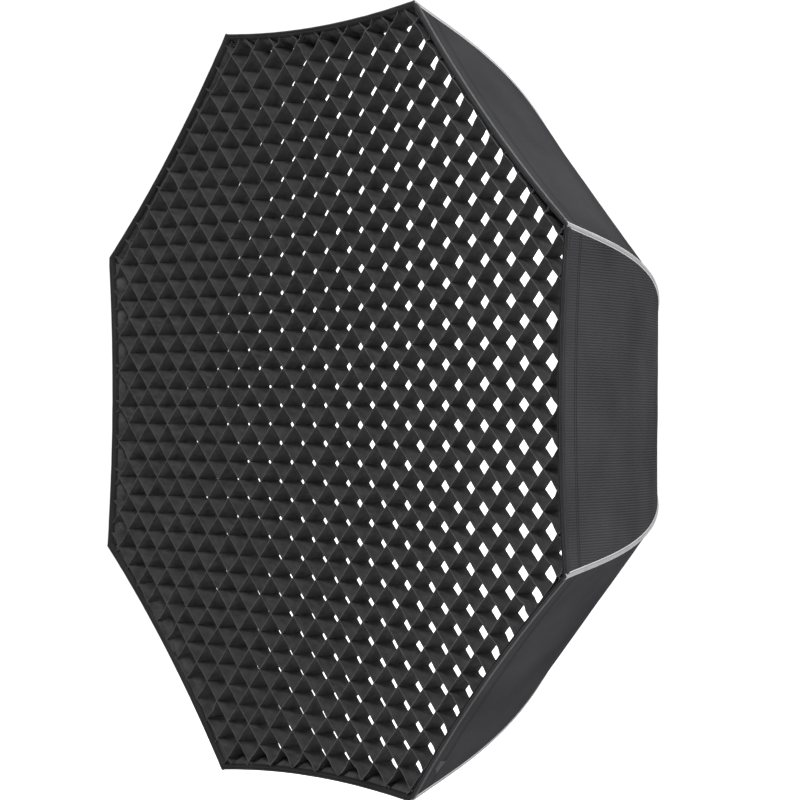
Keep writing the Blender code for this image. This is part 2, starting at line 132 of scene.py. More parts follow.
class Shape:
    """The seam and rod curves: every rod bends from its front corner to its socket."""

    FRONT_SLOPE = math.radians(25.0)
    REAR_SLOPE = math.radians(64.0)
    FRONT_PULL, REAR_PULL = 0.20, 0.50
    SAMPLES = 400

    def __init__(self, sizes):
        self.sizes = sizes
        self.way = Vector((math.sin(self.REAR_SLOPE), -math.cos(self.REAR_SLOPE)))
        self.hinge = Vector((sizes.hinge_radius, sizes.hinge_y))
        self.mouth = self.hinge + sizes.socket_length * self.way
        outward = Vector((math.cos(self.FRONT_SLOPE), math.sin(self.FRONT_SLOPE)))
        corner = Vector((sizes.front_radius, sizes.front_y))
        start = corner - sizes.seam_offset * outward
        chord = (self.mouth - start).length
        tip_way = Vector((-math.sin(self.FRONT_SLOPE), math.cos(self.FRONT_SLOPE)))
        self.knots = (start, start + self.FRONT_PULL * chord * tip_way,
                      self.mouth + self.REAR_PULL * chord * self.way, self.mouth)
        self.table = []
        run = 0.0
        for i in range(self.SAMPLES + 1):
            point = self.beside(i / self.SAMPLES, sizes.seam_offset)
            if self.table:
                run += (point - self.table[-1][1]).length
            self.table.append((run, point))
        self.seam_length = run
        reach = corner - self.hinge
        self.chord = reach.length
        self.lean = reach.normalized()

    def rod(self, share):
        """A point (radius, y) of the rod's centre line and its direction, from tip to mouth."""
        a, b, c, d = self.knots
        rest = 1.0 - share
        point = (rest ** 3 * a + 3 * rest ** 2 * share * b + 3 * rest * share ** 2 * c
                 + share ** 3 * d)
        heading = rest ** 2 * (b - a) + 2 * rest * share * (c - b) + share ** 2 * (d - c)
        return point, heading.normalized()

    def beside(self, share, offset):
        point, heading = self.rod(share)
        return point + offset * Vector((heading.y, -heading.x))

    def seam(self, run):
        """The seam's (radius, y) at a distance along it from the front corner, and its share."""
        table, low, high = self.table, 0, self.SAMPLES
        while high - low > 1:
            middle = (low + high) // 2
            if table[middle][0] <= run:
                low = middle
            else:
                high = middle
        part = (run - table[low][0]) / (table[high][0] - table[low][0])
        return table[low][1].lerp(table[high][1], part), (low + part) / self.SAMPLES

    def run_at(self, y):
        """How far along the seam it reaches y."""
        low, high = 0.0, self.seam_length
        for _ in range(30):
            middle = (low + high) / 2
            if self.seam(middle)[0].y < y:
                low = middle
            else:
                high = middle
        return low

    def bow(self, share, across):
        """How far a side bows towards the axis, most at the middle of its front edge."""
        return self.sizes.edge_bow * (1.0 - share) ** 2 * (1.0 - across ** 2)

    def edge(self, side, run, across, inward=0.0):
        """A point of a side's cloth. across goes from -1 to 1 between its two corners."""
        seam, share = self.seam(run)
        out, half = seam.x * COS_HALF, seam.x * SIN_HALF
        out -= self.bow(share, across) + inward
        return turned(Vector((out, seam.y, half * across)), side * STEP)

    def core(self, point, rod):
        """How far a point stands out of the narrow part of the cloth that stays with its rod."""
        local = turned(point, -rod_turn(rod))
        along = (Vector((local.x, local.y)) - self.hinge).dot(self.lean)
        return abs(local.z) - (CORE_REAR + (CORE_TIP - CORE_REAR) * along / self.chord)

    def fold_axis(self, rod, sign):
        """The direction in which one half of a side's loose cloth gathers towards its rod."""
        slope = (CORE_TIP - CORE_REAR) / self.chord
        axis = Vector((-slope * self.lean.x, -slope * self.lean.y, sign)).normalized()
        anchor = Vector((self.hinge.x, self.hinge.y, sign * CORE_REAR))
        return turned(axis, rod_turn(rod)), turned(anchor, rod_turn(rod))


def measured(context):
    """The sizes and the curves made from them."""
    sizes = context.scene.octabox_sizes
    return sizes, Shape(sizes)


def rod_turn(rod):
    return HALF + rod * STEP


def turned(point, angle):
    """A point turned about the optical axis, from +X towards +Z."""
    c, s = math.cos(angle), math.sin(angle)
    return Vector((point.x * c - point.z * s, point.y, point.x * s + point.z * c))


def round_corner(rod, share):
    """The side and the place across it, for a share from -1 to 1 past a rod's two half sides."""
    if share < 0:
        return rod, 1.0 + share
    return (rod + 1) % SIDES, share - 1.0


def gather(obj, sizes):
    """Gives the front-edge cloth its own copy of its mesh."""
    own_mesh(obj)


def rough(x, y, seed, scale):
    """Smooth noise from -1 to 1 whose bumps are about scale metres wide."""
    return noise.noise(Vector((x / scale, y / scale, seed * 7.31 + 0.5)))


# ---------------------------------------------------------------- mesh tools


def lay_grid(bm, across, along, place, cut=None):
    """A sheet of faces whose corner (i, j) goes to place(i, j) and has the UV cut(i, j)."""
    layer = bm.loops.layers.uv.get("UVMap") or bm.loops.layers.uv.new("UVMap")
    made = bmesh.ops.create_grid(bm, x_segments=across, y_segments=along, size=0.5)["verts"]
    spots = {}
    for vert in made:
        i, j = round((vert.co.x + 0.5) * across), round((vert.co.y + 0.5) * along)
        spots[vert] = cut(i, j) if cut else (i / across, j / along)
        vert.co = place(i, j)
    faces = {face for vert in made for face in vert.link_faces}
    for face in faces:
        face.smooth = True
        for loop in face.loops:
            loop[layer].uv = spots[loop.vert]
    return made


def face_away(bm, centre):
    """Turns the faces over if most of them look towards centre."""
    bm.normal_update()
    total = sum(face.calc_area() * face.normal.dot(face.calc_center_median() - centre)
                for face in bm.faces)
    if total < 0:
        bmesh.ops.reverse_faces(bm, faces=bm.faces[:])


def close_ends(bm):
    """Joins a rolled sheet's seam and fills its two ends."""
    bmesh.ops.remove_doubles(bm, verts=bm.verts[:], dist=1e-6)
    bmesh.ops.holes_fill(bm, edges=[edge for edge in bm.edges if edge.is_boundary], sides=0)
    bmesh.ops.recalc_face_normals(bm, faces=bm.faces[:])


def piece(name, bm, finishes, body, nodes=()):
    """Makes the object, which rides on a body and stands for CAD nodes."""
    for edge in bm.edges:
        if len(edge.link_faces) != 2:
            edge.smooth = False
    data = bpy.data.meshes.new(name)
    bm.to_mesh(data)
    bm.free()
    for item in finishes:
        data.materials.append(finish(item))
    obj = bpy.data.objects.new(name, data)
    bpy.context.scene.collection.objects.link(obj)
    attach(obj, body)
    if nodes:
        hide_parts(*nodes)
    return obj


def wall(obj, thickness, offset, inner=0, rim=0):
    """Gives a sheet its thickness."""
    solid = obj.modifiers.new("thickness", "SOLIDIFY")
    solid.thickness = thickness
    solid.offset = offset
    solid.material_offset = inner
    solid.material_offset_rim = rim
    return obj


def softened(node, width, finishes, body):
    """A copy of a CAD node with its edges rounded over."""
    bm = bmesh.new()
    bm.from_mesh(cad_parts[node].data)
    bmesh.ops.remove_doubles(bm, verts=bm.verts[:], dist=1e-5)
    bmesh.ops.dissolve_limit(bm, angle_limit=math.radians(1.0), verts=bm.verts[:],
                             edges=bm.edges[:])
    for face in bm.faces:
        face.smooth = True
    obj = piece("shaped_" + node, bm, finishes, body, [node])
    obj.data.set_sharp_from_angle(angle=math.radians(35))
    rounded = obj.modifiers.new("edges", "BEVEL")
    rounded.width = width
    rounded.segments = 2
    rounded.limit_method = "ANGLE"
    rounded.angle_limit = math.radians(35)
    rounded.harden_normals = True
    return obj


# ---------------------------------------------------------------- materials


def add(tree, kind, inputs=None, **settings):
    """Adds a node with its settings; each input is a value or another node's output."""
    node = tree.nodes.new("ShaderNode" + kind)
    for key, value in settings.items():
        setattr(node, key, value)
    for key, value in (inputs or {}).items():
        if isinstance(value, bpy.types.NodeSocket):
            tree.links.new(value, node.inputs[key])
        else:
            node.inputs[key].default_value = value
    return node


def wave_scale(period):
    """The Wave texture's scale that repeats once in period metres."""
    return math.pi / 10 / period


def begin(name, **values):
    """A new material with its shader's uniform values set."""
    made = bpy.data.materials.new(name)
    made.use_nodes = True
    shader = made.node_tree.nodes["Principled BSDF"]
    for key, value in values.items():
        shader.inputs[key.replace("_", " ")].default_value = value
    return made, made.node_tree, shader


def rgba(value):
    """A hex code or a colour property as red, green, blue and alpha."""
    return (*(linear(value) if isinstance(value, str) else value), 1.0)


def feed(tree, shader, **sources):
    """Links nodes' outputs to the shader's sockets."""
    for key, output in sources.items():
        tree.links.new(output, shader.inputs[key.replace("_", " ")])


def toned(tree, pattern, weight, cloud, shift, dark, light):
    """A colour between dark and light that follows weight of a pattern and all of a cloud."""
    tone = add(tree, "Math", {0: pattern, 1: weight, 2: cloud}, operation="MULTIPLY_ADD")
    tone = add(tree, "Math", {0: tone.outputs[0], 1: shift}, operation="ADD")
    return add(tree, "Mix", {0: tone.outputs[0], 6: dark, 7: light}, data_type="RGBA")


def stitch_rows(tree, across, places, full, none):
    """One on each row of stitches within full of its place, and zero beyond none."""
    rows = None
    for place in places:
        off = add(tree, "Math", {0: across, 1: place}, operation="SUBTRACT")
        off = add(tree, "Math", {0: off.outputs[0]}, operation="ABSOLUTE")
        near = add(tree, "MapRange", {0: off.outputs[0], 1: full, 2: none, 3: 1.0, 4: 0.0})
        if rows:
            near = add(tree, "Math", {0: rows.outputs[0], 1: near.outputs[0]},
                       operation="MAXIMUM")
        rows = near
    return rows


def woven_black_nylon(name, colours):
    # Coated 420 denier nylon: dull black, with a faint rib and soft cloudy changes of tone.
    made, tree, shader = begin(name, Specular_IOR_Level=0.0)
    cut = add(tree, "UVMap", uv_map="UVMap").outputs[0]
    # The threads are 0.4 mm apart, so the rib is drawn at 4.6 mm and the weft at 3.8 mm, to show.
    rib = add(tree, "TexWave", {"Vector": cut, "Scale": wave_scale(0.0046), "Distortion": 1.6,
                                "Detail": 1.0, "Detail Scale": 2.0}, bands_direction="X")
    weft = add(tree, "TexWave", {"Vector": cut, "Scale": wave_scale(0.0038), "Distortion": 1.0},
               bands_direction="Y")
    place = add(tree, "TexCoord").outputs["Object"]
    cloud = add(tree, "TexNoise", {"Vector": place, "Scale": 6.0, "Detail": 4.0})
    weave = add(tree, "Math", {0: rib.outputs["Fac"], 1: 0.34}, operation="MULTIPLY")
    part = add(tree, "Math", {0: weft.outputs["Fac"], 1: 0.14, 2: weave.outputs[0]},
               operation="MULTIPLY_ADD")
    base = toned(tree, cloud.outputs["Fac"], 0.5, part.outputs[0], -0.08, rgba(colours.nylon),
                 rgba(colours.nylon_light))
    # Two rows of stitches hold the hem: dark needle holes and a slight groove.
    split = add(tree, "SeparateXYZ", {0: cut})
    rows = stitch_rows(tree, split.outputs[1], (HEM, HEM + 0.0055), 0.0006, 0.0016)
    stitched = add(tree, "Mix", {0: rows.outputs[0], 6: base.outputs[2],
                                 7: rgba("#1a1a1b")}, data_type="RGBA")
    dull = add(tree, "MapRange", {0: cloud.outputs["Fac"], 1: 0.3, 2: 0.7, 3: 0.40, 4: 0.56})
    height = add(tree, "Math", {0: rows.outputs[0], 1: -1.2, 2: part.outputs[0]},
                 operation="MULTIPLY_ADD")
    bump = add(tree, "Bump", {"Height": height.outputs[0], "Strength": 0.45, "Distance": 0.0005})
    feed(tree, shader, Base_Color=stitched.outputs[2], Roughness=dull.outputs[0],
         Normal=bump.outputs[0])
    return made


def silver_coated_lining(name, colours):
    # Silver PU coating on nylon: a bright, pebbled metal look with soft reflections.
    made, tree, shader = begin(name, Metallic=0.75, Roughness=0.42)
    place = add(tree, "TexCoord").outputs["Object"]
    pebble = add(tree, "TexVoronoi", {"Vector": place, "Scale": 1 / 0.004})
    cloud = add(tree, "TexNoise", {"Vector": place, "Scale": 9.0, "Detail": 3.0})
    base = add(tree, "Mix", {0: cloud.outputs["Fac"], 6: rgba("#aeb0b2"),
                             7: rgba(colours.silver)}, data_type="RGBA")
    bump = add(tree, "Bump", {"Height": pebble.outputs["Distance"], "Strength": 0.5,
                              "Distance": 0.0006})
    feed(tree, shader, Base_Color=base.outputs[2], Normal=bump.outputs[0])
    return made


def grid_nylon(name, colours, edge=False):
    # Dull black nylon strips with a fine diagonal twill; the folded front edges get lighter
    # colours, a painted highlight where the folds catch light.
    made, tree, shader = begin(name, Roughness=0.72, Specular_IOR_Level=0.10)
    cut = add(tree, "UVMap", uv_map="UVMap").outputs[0]
    lean = add(tree, "Mapping", {"Vector": cut, "Rotation": (0.0, 0.0, math.radians(35))})
    # The twill's ribs are 0.5 mm apart, drawn at 4 mm to show.
    twill = add(tree, "TexWave", {"Vector": lean.outputs[0], "Scale": wave_scale(0.0040),
                                  "Distortion": 3.0, "Detail": 2.0, "Detail Scale": 0.6})
    place = add(tree, "TexCoord").outputs["Object"]
    cloud = add(tree, "TexNoise", {"Vector": place, "Scale": 60.0, "Detail": 6.0,
                                  "Roughness": 0.62})
    # The edge colours are lighter than the strips': a painted highlight on the folded edges.
    dark, light = ("#1d1d1e", "#404041") if edge else ("#070708", colours.grid)
    base = toned(tree, twill.outputs["Fac"], 0.13, cloud.outputs["Fac"], -0.16, rgba(dark),
                 rgba(light))
    bump = add(tree, "Bump", {"Height": twill.outputs["Fac"], "Strength": 0.35,
                              "Distance": 0.0003})
    feed(tree, shader, Base_Color=base.outputs[2], Normal=bump.outputs[0])
    return made


def grid_nylon_painted_edge_highlight(name, colours):
    return grid_nylon(name, colours, edge=True)


def binding_webbing(name, colours):
    # Ribbed polyester binding, folded and sewn: black, with raised cross ribs and two stitch rows.
    made, tree, shader = begin(name, Roughness=0.5, Specular_IOR_Level=0.04)
    cut = add(tree, "UVMap", uv_map="UVMap").outputs[0]
    rib = add(tree, "TexWave", {"Vector": cut, "Scale": wave_scale(0.0021), "Distortion": 0.5},
              bands_direction="Y")
    place = add(tree, "TexCoord").outputs["Object"]
    cloud = add(tree, "TexNoise", {"Vector": place, "Scale": 22.0, "Detail": 3.0})
    split = add(tree, "SeparateXYZ", {0: cut})
    thread = stitch_rows(tree, split.outputs[0], (0.0065, 0.0155), 0.0003, 0.0010)
    base = toned(tree, rib.outputs["Fac"], 0.4, cloud.outputs["Fac"], -0.2, rgba("#0a0a0b"),
                 rgba(colours.binding))
    sewn = add(tree, "Mix", {0: thread.outputs[0], 6: base.outputs[2],
                             7: rgba("#262628")}, data_type="RGBA")
    height = add(tree, "Math", {0: thread.outputs[0], 1: 0.6, 2: rib.outputs["Fac"]},
                 operation="MULTIPLY_ADD")
    bump = add(tree, "Bump", {"Height": height.outputs[0], "Strength": 0.5, "Distance": 0.0004})
    feed(tree, shader, Base_Color=sewn.outputs[2], Normal=bump.outputs[0])
    return made


def glass_bead_tape(name, colours):
    # Grey glass-bead tape sewn over the seam: satin, with grey stitches; its folded edges are
    # painted paler, a painted highlight where they catch light.
    made, tree, shader = begin(name, Roughness=0.55, Specular_IOR_Level=0.15)
    cut = add(tree, "UVMap", uv_map="UVMap").outputs[0]
    split = add(tree, "SeparateXYZ", {0: cut})
    off = add(tree, "Math", {0: split.outputs[0]}, operation="ABSOLUTE")
    border = add(tree, "MapRange", {0: off.outputs[0], 1: 0.0048, 2: 0.0062, 3: 0.0, 4: 1.0})
    row = stitch_rows(tree, off.outputs[0], (0.0046,), 0.0003, 0.0009)
    # Stitches 3.2 mm long.
    stitch = add(tree, "TexWave", {"Vector": cut, "Scale": wave_scale(0.0032)},
                 bands_direction="Y")
    thread = add(tree, "Math", {0: stitch.outputs["Fac"], 1: row.outputs[0]}, operation="MULTIPLY")
    place = add(tree, "TexCoord").outputs["Object"]
    bead = add(tree, "TexNoise", {"Vector": place, "Scale": 700.0, "Detail": 2.0})
    wear = add(tree, "TexNoise", {"Vector": place, "Scale": 25.0, "Detail": 4.0})
    base = toned(tree, bead.outputs["Fac"], 0.4, wear.outputs["Fac"], -0.2, rgba("#5a5a5b"),
                 rgba(colours.tape))
    # The paler grey at both edges is a painted highlight on the tape's folds.
    edge_highlight = add(tree, "Mix", {0: border.outputs[0], 6: base.outputs[2],
                             7: rgba("#808080")}, data_type="RGBA")
    sewn = add(tree, "Mix", {0: thread.outputs[0], 6: edge_highlight.outputs[2],
                             7: rgba("#2c2d2e")}, data_type="RGBA")
    height = add(tree, "Math", {0: row.outputs[0], 1: -0.8, 2: bead.outputs["Fac"]},
                 operation="MULTIPLY_ADD")
    bump = add(tree, "Bump", {"Height": height.outputs[0], "Strength": 0.4, "Distance": 0.0003})
    feed(tree, shader, Base_Color=sewn.outputs[2], Normal=bump.outputs[0])
    return made


def white_diffuser_nylon(name, colours, painted_glow=1.3):
    # Translucent white nylon, lit from behind in use: that light is a painted glow, emission
    # standing in for the lamp. Even white, with a faint weave and soft folds.
    made, tree, shader = begin(name, Roughness=0.70, Emission_Color=(1.0, 1.0, 1.0, 1.0),
                               Emission_Strength=painted_glow, Specular_IOR_Level=0.3)
    cut = add(tree, "UVMap", uv_map="UVMap").outputs[0]
    # Ripstop squares 6 mm apart.
    warp = add(tree, "TexWave", {"Vector": cut, "Scale": wave_scale(0.006)}, bands_direction="X")
    weft = add(tree, "TexWave", {"Vector": cut, "Scale": wave_scale(0.006)}, bands_direction="Y")
    weave = add(tree, "Math", {0: warp.outputs["Fac"], 1: weft.outputs["Fac"]},
                operation="MAXIMUM")
    base = add(tree, "Mix", {0: weave.outputs[0], 6: rgba("#e6e6e4"),
                             7: rgba(colours.diffuser)}, data_type="RGBA")
    bump = add(tree, "Bump", {"Height": weave.outputs[0], "Strength": 0.25, "Distance": 0.0002})
    feed(tree, shader, Base_Color=base.outputs[2], Normal=bump.outputs[0])
    return made


def white_baffle_nylon(name, colours):
    # The baffle takes the same white nylon with a faint painted glow.
    return white_diffuser_nylon(name, colours, painted_glow=0.15)


def black_anodised_aluminium(name, colours):
    # Bead-blasted, black anodised aluminium: satin, fine-grained, paler where handled.
    made, tree, shader = begin(name, Metallic=0.55)
    place = add(tree, "TexCoord").outputs["Object"]
    grain = add(tree, "TexNoise", {"Vector": place, "Scale": 1 / 0.0009, "Detail": 2.0})
    cloud = add(tree, "TexNoise", {"Vector": place, "Scale": 18.0, "Detail": 5.0})
    base = add(tree, "Mix", {0: grain.outputs["Fac"], 6: rgba(colours.metal),
                             7: rgba("#2b2c2e")}, data_type="RGBA")
    worn = add(tree, "MapRange", {0: cloud.outputs["Fac"], 1: 0.62, 2: 0.74, 3: 0.0, 4: 0.35})
    rubbed = add(tree, "Mix", {0: worn.outputs[0], 6: base.outputs[2],
                               7: rgba("#4a4b4e")}, data_type="RGBA")
    dull = add(tree, "MapRange", {0: cloud.outputs["Fac"], 1: 0.3, 2: 0.7, 3: 0.34, 4: 0.48})
    bump = add(tree, "Bump", {"Height": grain.outputs["Fac"], "Strength": 0.25,
                              "Distance": 0.0002})
    feed(tree, shader, Base_Color=rubbed.outputs[2], Roughness=dull.outputs[0],
         Normal=bump.outputs[0])
    return made


def glass_filled_nylon(name, colours):
    # Glass-filled nylon from a spark-eroded mould: matt black with a fine even grain.
    made, tree, shader = begin(name, IOR=1.53, Specular_IOR_Level=0.5)
    place = add(tree, "TexCoord").outputs["Object"]
    grain = add(tree, "TexNoise", {"Vector": place, "Scale": 1 / 0.0007, "Detail": 3.0})
    cloud = add(tree, "TexNoise", {"Vector": place, "Scale": 30.0, "Detail": 2.0})
    base = add(tree, "Mix", {0: cloud.outputs["Fac"], 6: rgba(colours.moulding),
                             7: rgba("#2c2c2d")}, data_type="RGBA")
    dull = add(tree, "MapRange", {0: grain.outputs["Fac"], 1: 0.3, 2: 0.7, 3: 0.45, 4: 0.6})
    bump = add(tree, "Bump", {"Height": grain.outputs["Fac"], "Strength": 0.35,
                              "Distance": 0.0002})
    feed(tree, shader, Base_Color=base.outputs[2], Roughness=dull.outputs[0],
         Normal=bump.outputs[0])
    return made


def blackened_steel(name, colours):
    # Spring steel with a black oxide: dark grey, with the drawing lines still in it.
    return drawn_steel(name, colours, "#131415", "#232425")


def drawn_steel(name, colours, low="#8b8d90", high=None):
    # Drawn spring steel: bright, with fine lines along it and slightly darker patches.
    made, tree, shader = begin(name, Metallic=1.0)
    place = add(tree, "TexCoord").outputs["Object"]
    line = add(tree, "TexNoise", {"Vector": place, "Scale": 600.0, "Detail": 2.0})
    cloud = add(tree, "TexNoise", {"Vector": place, "Scale": 30.0, "Detail": 4.0})
    base = add(tree, "Mix", {0: cloud.outputs["Fac"], 6: rgba(low),
                             7: rgba(high or colours.steel)}, data_type="RGBA")
    dull = add(tree, "MapRange", {0: line.outputs["Fac"], 1: 0.3, 2: 0.7, 3: 0.24, 4: 0.36})
    bump = add(tree, "Bump", {"Height": line.outputs["Fac"], "Strength": 0.12,
                              "Distance": 0.0001})
    feed(tree, shader, Base_Color=base.outputs[2], Roughness=dull.outputs[0],
         Normal=bump.outputs[0])
    return made


def painted_floor(name, colours):
    # A smooth painted studio floor: near-white, with the faintest roller texture.
    made, tree, shader = begin(name, Roughness=0.8)
    place = add(tree, "TexCoord").outputs["Object"]
    cloud = add(tree, "TexNoise", {"Vector": place, "Scale": 3.0, "Detail": 3.0})
    base = add(tree, "Mix", {0: cloud.outputs["Fac"], 6: rgba("#f6f6f6"),
                             7: rgba("#fafafa")}, data_type="RGBA")
    feed(tree, shader, Base_Color=base.outputs[2])
    return made


FINISHES = {maker.__name__: maker for maker in (
    woven_black_nylon, silver_coated_lining, grid_nylon, grid_nylon_painted_edge_highlight, binding_webbing,
    glass_bead_tape, white_diffuser_nylon, white_baffle_nylon, black_anodised_aluminium,
    glass_filled_nylon, drawn_steel, blackened_steel, painted_floor)}


def finish(name):
    """A named material, made the first time it is asked for."""
    found = bpy.data.materials.get(name)
    return found or FINISHES[name](name, bpy.context.scene.octabox_colours)


# ---------------------------------------------------------------- side cloth


def cloth_relief(side, run, along):
    """How far a side's cloth dips inwards: hem puckers, tension folds near corners, slow waves."""
    hem = max(0.0, 1.0 - abs(run - HEM * 0.52) / (HEM * 0.56))
    drift = 0.016 * rough(along, 0.0, side + 3, 0.10)
    swell = max(0.0, 0.45 + 1.1 * rough(along, run, side, 0.085))
    dip = 0.0013 * hem * min(1.0, swell) * math.sin((run + drift) * math.tau / 0.019)
    dip += 0.0010 * hem * rough(along, run * 3.0, side + 11, 0.05)
    dip += 0.0011 * math.exp(-((run - HEM) / 0.0035) ** 2)
    dip += 0.0022 * rough(along, run, side + 21, 0.26) * min(1.0, run / 0.08)
    dip += 0.0007 * rough(along, run * 0.35, side + 31, 0.05) * min(1.0, run / 0.05)
    return dip


def cloth_point(shape, side, run, across):
    """A point of a side's cloth with its relief, and how far along the side it lies."""
    seam, _ = shape.seam(run)
    along = across * seam.x * SIN_HALF
    fade = 1.0 - abs(across) ** 6
    end = min(1.0, (shape.seam_length - run) / 0.05)
    dip = cloth_relief(side, run, along) * fade * end
    return shape.edge(side, run, across, dip), along


def lay_panel(bm, shape, side, rows, steps, across_at):
    """Lays part of a side's cloth; across_at(i, j) is the place across the side, from -1 to 1."""
    def spot(i, j):
        return cloth_point(shape, side, rows[j], across_at(i, j))

    lay_grid(bm, steps, len(rows) - 1, lambda i, j: spot(i, j)[0],
             lambda i, j: (side * 3.0 + spot(i, j)[1], rows[j]))


def stations(shape, first):
    """Distances from the front edge of the side cloth's rows of points: closer in the hem."""
    rows = [first]
    while rows[-1] < 0.062:
        rows.append(rows[-1] + 0.0030)
    count = round((shape.seam_length - rows[-1]) / 0.0105)
    start = rows[-1]
    return rows + [start + (shape.seam_length - start) * (i + 1) / count for i in range(count)]


def flat_area(rows, widths):
    """The area of a panel cut with these widths at these distances from the front edge."""
    return sum((a + b) / 2 * (far - near)
               for a, b, near, far in zip(widths, widths[1:], rows, rows[1:]))


def split_at(shape, rod, side, sign, run):
    """The across value where the cloth leaves its rod's narrow strip."""
    low, high = 0.0, 1.0
    for _ in range(22):
        middle = (low + high) / 2
        if shape.core(shape.edge(side, run, sign * middle), rod) > 0:
            low = middle
        else:
            high = middle
    return low


class OCTABOX_OT_side_cloth(bpy.types.Operator):
    """Sews the eight side panels from coated nylon with a silver lining"""

    bl_idname = "octabox.side_cloth"
    bl_label = "Side cloth"

    def execute(self, context):
        sizes, shape = measured(context)
        rows = stations(shape, shape.run_at(sizes.front_y + sizes.rim_depth * 0.35))
        for rod in range(SIDES):
            # Side rod has this corner at across 1, and side rod + 1 has it at across -1.
            halves = ((rod, 1.0, -1.0), ((rod + 1) % SIDES, -1.0, 1.0))
            cuts = [[split_at(shape, rod, side, corner, run) for run in rows]
                    for side, corner, _ in halves]
            body = f"rod_arm_{rod + 1}"
            nodes = [f"gore_{side + 1}" for side, _, _ in halves]
            bm = bmesh.new()
            steps = 9
            for (side, corner, _), cut in zip(halves, cuts):
                def core_across(i, j):
                    return corner * (1.0 + (cut[j] - 1.0) * i / steps)

                lay_panel(bm, shape, side, rows, steps, core_across)
            bmesh.ops.remove_doubles(bm, verts=bm.verts[:], dist=1e-6)
            bmesh.ops.recalc_face_normals(bm, faces=bm.faces[:])
            face_away(bm, INSIDE)
            core = piece(f"side_cloth_{rod + 1}", bm, ["woven_black_nylon", "silver_coated_lining"],
                         body, nodes)
            wall(core, sizes.cloth, -1.0, inner=1)
            wide = [shape.seam(run)[0].x * SIN_HALF for run in rows]
            strip = flat_area(rows, [w * (2.0 - cuts[0][j] - cuts[1][j])
                                     for j, w in enumerate(wide)])
            for letter, (side, corner, sign), cut in zip("ab", halves, cuts):
                bm = bmesh.new()
                steps_wide = 24

                def across_at(i, j):
                    return corner * cut[j] * i / steps_wide

                lay_panel(bm, shape, side, rows, steps_wide, across_at)
                face_away(bm, INSIDE)
                fold = piece(f"side_fold_{rod + 1}{letter}", bm,
                             ["woven_black_nylon", "silver_coated_lining"], body,
                             [f"gore_{side + 1}"])
                wall(fold, sizes.cloth, -1.0, inner=1)
                axis, anchor = shape.fold_axis(rod, sign)
                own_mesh(fold)
                half = flat_area(rows, [w * cut[j] for j, w in enumerate(wide)])
        return {"FINISHED"}


# ---------------------------------------------------------------- seams and front edge


class OCTABOX_OT_edge_tapes(bpy.types.Operator):
    """Lays the grey tape over the eight seams"""

    bl_idname = "octabox.edge_tapes"
    bl_label = "Edge tapes"

    def execute(self, context):
        sizes, shape = measured(context)
        along, across = 84, 10
        for rod in range(SIDES):
            def place(i, j):
                run = 0.002 + (shape.seam_length - 0.004) * j / along
                share = 2.0 * i / across - 1.0
                side = rod if share < 0 else (rod + 1) % SIDES
                corner = 1.0 if share < 0 else -1.0
                seam, part = shape.seam(run)
                reach = abs(share) * sizes.tape_width / 2 / (seam.x * SIN_HALF)
                lift = 0.0016 * (1.0 - abs(share) ** 4) + 0.0002
                lift += 0.00025 * rough(run, share, rod + 50, 0.03)
                _, heading = shape.rod(part)
                normal = turned(Vector((heading.y, -heading.x, 0.0)), rod_turn(rod))
                return shape.edge(side, run, corner * (1.0 - reach)) + lift * normal

            bm = bmesh.new()
            lay_grid(bm, across, along, place,
                     lambda i, j: (sizes.tape_width * (i / across - 0.5),
                                   shape.seam_length * j / along))
            face_away(bm, INSIDE)
            tape = piece(f"edge_trim_{rod + 1}", bm, ["glass_bead_tape"], f"rod_arm_{rod + 1}",
                         [f"edge_tape_{rod + 1}"])
            wall(tape, 0.0010, -1.0)
        return {"FINISHED"}


class OCTABOX_OT_front_binding(bpy.types.Operator):
    """Folds and sews the binding round the front edge"""

    bl_idname = "octabox.front_binding"
    bl_label = "Front binding"

    # The fold's cross-section: distance in from the outer face, and depth behind the front.
    PROFILE = ((-0.0006, 0.0140), (-0.0010, 0.0100), (-0.0012, 0.0060), (-0.0006, 0.0028),
               (0.0004, 0.0008), (0.0016, 0.0001), (0.0028, 0.0006), (0.0036, 0.0030),
               (0.0043, 0.0030), (0.0050, 0.0008), (0.0062, 0.0002), (0.0074, 0.0008),
               (0.0081, 0.0030), (0.0087, 0.0046), (0.0085, 0.0090))

    def execute(self, context):
        sizes, shape = measured(context)
        runs = [0.0]
        for a, b in zip(self.PROFILE, self.PROFILE[1:]):
            runs.append(runs[-1] + math.dist(a, b))
        half = 60
        last = len(self.PROFILE) - 1
        for rod in range(SIDES):
            def place(i, j):
                side, across = round_corner(rod, j / half - 1.0)
                inward, depth = self.PROFILE[i]
                y = sizes.front_y + depth
                seam, part = shape.seam(shape.run_at(max(y, sizes.front_y + 1e-6)))
                out, wide = seam.x * COS_HALF, seam.x * SIN_HALF
                spot = across * wide
                crease = rough(spot, depth * 3, side + 61, 0.028)
                near_corner = math.exp(-(1.0 - abs(across)) * wide / 0.03)
                wave = (0.0003 + 0.0010 * near_corner) * crease
                bow = shape.bow(part, across)
                inset = inward + (wave if 3 < i < last - 1 else 0.0)
                tight = (out - inset) / out
                point = Vector((out - bow - inset, y + abs(wave) * 0.6, spot * tight))
                return turned(point, side * STEP)

            bm = bmesh.new()
            lay_grid(bm, last, 2 * half, place,
                     lambda i, j: (runs[i], rod * 0.6 + FRONT_SIDE * j / (2 * half)))
            face_away(bm, Vector((0.0, 0.4, 0.0)))
            rim = piece(f"front_binding_{rod + 1}", bm, ["binding_webbing"], f"rod_arm_{rod + 1}",
                        ["front_rim"])
            wall(rim, 0.0008, -1.0)
            gather(rim, sizes)
        return {"FINISHED"}


# ---------------------------------------------------------------- grid


